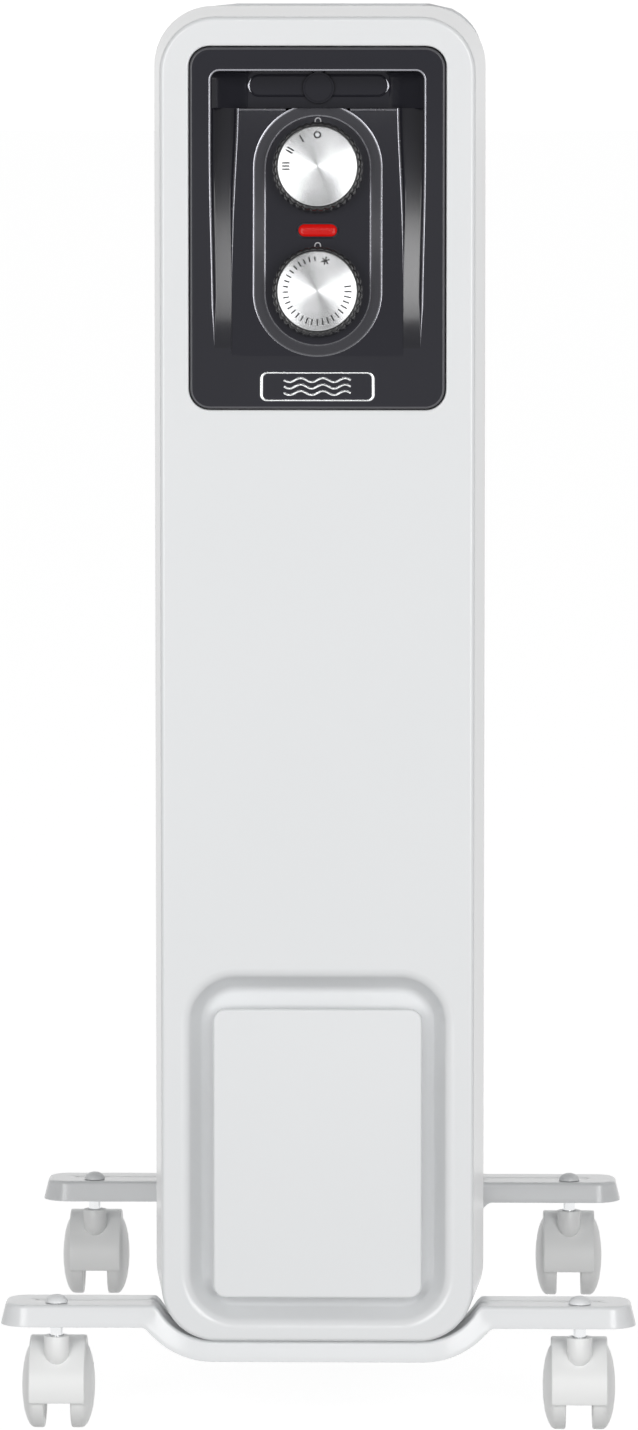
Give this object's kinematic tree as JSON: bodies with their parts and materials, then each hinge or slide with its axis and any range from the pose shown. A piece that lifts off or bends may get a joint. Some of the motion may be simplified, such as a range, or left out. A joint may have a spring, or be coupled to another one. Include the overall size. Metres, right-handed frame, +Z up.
{
  "type": "oil filled radiator heater",
  "caption": "Upright white column heater with finned oil-filled stack, dark control panel with two round knobs, wide foot brackets and twin-wheel casters.",
  "frame": {"origin": "on the floor, at the centre of the bounding box", "axes": "+Z up, +X to the right of someone facing the controls, -Y out of the front face"},
  "size_m": [0.29, 0.4188, 0.65],
  "materials": {
    "enamel": "gloss",
    "white_plastic": "satin",
    "panel_plastic": "gloss",
    "lens": "polished",
    "badge_chrome": "polished",
    "knob_plastic": "satin",
    "spun_aluminium": "radially spun",
    "steel": "zinc plated",
    "phenolic": "matte",
    "black_plastic": "matte",
    "brass": "machined",
    "stem_chrome": "polished",
    "caster_plastic": "satin"
  },
  "bodies": {
    "heater": {"front_cover": "enamel", "cord_wrap_plate": "white_plastic", "rear_housing": "enamel", "control_panel": "panel_plastic", "indicator_lens": "lens", "badge": "badge_chrome", "selector_switch": "phenolic", "thermostat_body": "phenolic", "terminal_block": "phenolic", "thermal_cutout": "steel", "tilt_switch": "black_plastic", "cord_gland": "black_plastic", "heating_element": "brass", "upper_header": "enamel", "lower_header": "enamel", "oil_plug": "steel", "front_foot_bracket": "enamel", "rear_foot_bracket": "enamel", "u_bolt": "steel", "wing_nut_left": "steel", "wing_nut_right": "steel", "fin_1": "enamel", "fin_2": "enamel", "fin_3": "enamel", "fin_4": "enamel", "fin_5": "enamel", "fin_6": "enamel", "fin_7": "enamel", "fin_8": "enamel", "fin_9": "enamel", "front_left_caster_cap": "caster_plastic", "front_right_caster_cap": "caster_plastic", "rear_left_caster_cap": "caster_plastic", "rear_right_caster_cap": "caster_plastic"},
    "function_control": {"function_knob": "knob_plastic", "function_dial": "spun_aluminium", "selector_shaft": "steel"},
    "thermostat_control": {"thermostat_knob": "knob_plastic", "thermostat_dial": "spun_aluminium", "thermostat_shaft": "steel"},
    "front_left_swivel": {"front_left_caster_stem": "stem_chrome", "front_left_caster_hood": "caster_plastic", "front_left_caster_axle": "steel"},
    "front_left_wheel_left": {"front_left_caster_wheel_left": "caster_plastic"},
    "front_left_wheel_right": {"front_left_caster_wheel_right": "caster_plastic"},
    "front_right_swivel": {"front_right_caster_stem": "stem_chrome", "front_right_caster_hood": "caster_plastic", "front_right_caster_axle": "steel"},
    "front_right_wheel_left": {"front_right_caster_wheel_left": "caster_plastic"},
    "front_right_wheel_right": {"front_right_caster_wheel_right": "caster_plastic"},
    "rear_left_swivel": {"rear_left_caster_stem": "stem_chrome", "rear_left_caster_hood": "caster_plastic", "rear_left_caster_axle": "steel"},
    "rear_left_wheel_left": {"rear_left_caster_wheel_left": "caster_plastic"},
    "rear_left_wheel_right": {"rear_left_caster_wheel_right": "caster_plastic"},
    "rear_right_swivel": {"rear_right_caster_stem": "stem_chrome", "rear_right_caster_hood": "caster_plastic", "rear_right_caster_axle": "steel"},
    "rear_right_wheel_left": {"rear_right_caster_wheel_left": "caster_plastic"},
    "rear_right_wheel_right": {"rear_right_caster_wheel_right": "caster_plastic"}
  },
  "joints": [
    {"name": "function_turn", "type": "hinge", "parent": "heater", "child": "function_control", "pos_m": [0, -0.19272, 0.57775], "axis": [0, 0.9945, -0.1045], "range_deg": [0, 90]},
    {"name": "thermostat_turn", "type": "hinge", "parent": "heater", "child": "thermostat_control", "pos_m": [0, -0.19857, 0.52211], "axis": [0, 0.9945, -0.1045], "range_deg": [-15, 283]},
    {"name": "front_left_caster_swivel", "type": "hinge", "parent": "heater", "child": "front_left_swivel", "pos_m": [-0.1194, -0.18711, 0.05], "axis": [0, 0, 1], "continuous": true},
    {"name": "front_left_wheel_left_spin", "type": "hinge", "parent": "front_left_swivel", "child": "front_left_wheel_left", "pos_m": [-0.1194, -0.17111, 0.02], "axis": [1, 0, 0], "continuous": true},
    {"name": "front_left_wheel_right_spin", "type": "hinge", "parent": "front_left_swivel", "child": "front_left_wheel_right", "pos_m": [-0.1194, -0.17111, 0.02], "axis": [1, 0, 0], "continuous": true},
    {"name": "front_right_caster_swivel", "type": "hinge", "parent": "heater", "child": "front_right_swivel", "pos_m": [0.1194, -0.18711, 0.05], "axis": [0, 0, 1], "continuous": true},
    {"name": "front_right_wheel_left_spin", "type": "hinge", "parent": "front_right_swivel", "child": "front_right_wheel_left", "pos_m": [0.1194, -0.17111, 0.02], "axis": [1, 0, 0], "continuous": true},
    {"name": "front_right_wheel_right_spin", "type": "hinge", "parent": "front_right_swivel", "child": "front_right_wheel_right", "pos_m": [0.1194, -0.17111, 0.02], "axis": [1, 0, 0], "continuous": true},
    {"name": "rear_left_caster_swivel", "type": "hinge", "parent": "heater", "child": "rear_left_swivel", "pos_m": [-0.1194, 0.17139, 0.05], "axis": [0, 0, 1], "continuous": true},
    {"name": "rear_left_wheel_left_spin", "type": "hinge", "parent": "rear_left_swivel", "child": "rear_left_wheel_left", "pos_m": [-0.1194, 0.18739, 0.02], "axis": [1, 0, 0], "continuous": true},
    {"name": "rear_left_wheel_right_spin", "type": "hinge", "parent": "rear_left_swivel", "child": "rear_left_wheel_right", "pos_m": [-0.1194, 0.18739, 0.02], "axis": [1, 0, 0], "continuous": true},
    {"name": "rear_right_caster_swivel", "type": "hinge", "parent": "heater", "child": "rear_right_swivel", "pos_m": [0.1194, 0.17139, 0.05], "axis": [0, 0, 1], "continuous": true},
    {"name": "rear_right_wheel_left_spin", "type": "hinge", "parent": "rear_right_swivel", "child": "rear_right_wheel_left", "pos_m": [0.1194, 0.18739, 0.02], "axis": [1, 0, 0], "continuous": true},
    {"name": "rear_right_wheel_right_spin", "type": "hinge", "parent": "rear_right_swivel", "child": "rear_right_wheel_right", "pos_m": [0.1194, 0.18739, 0.02], "axis": [1, 0, 0], "continuous": true}
  ]
}
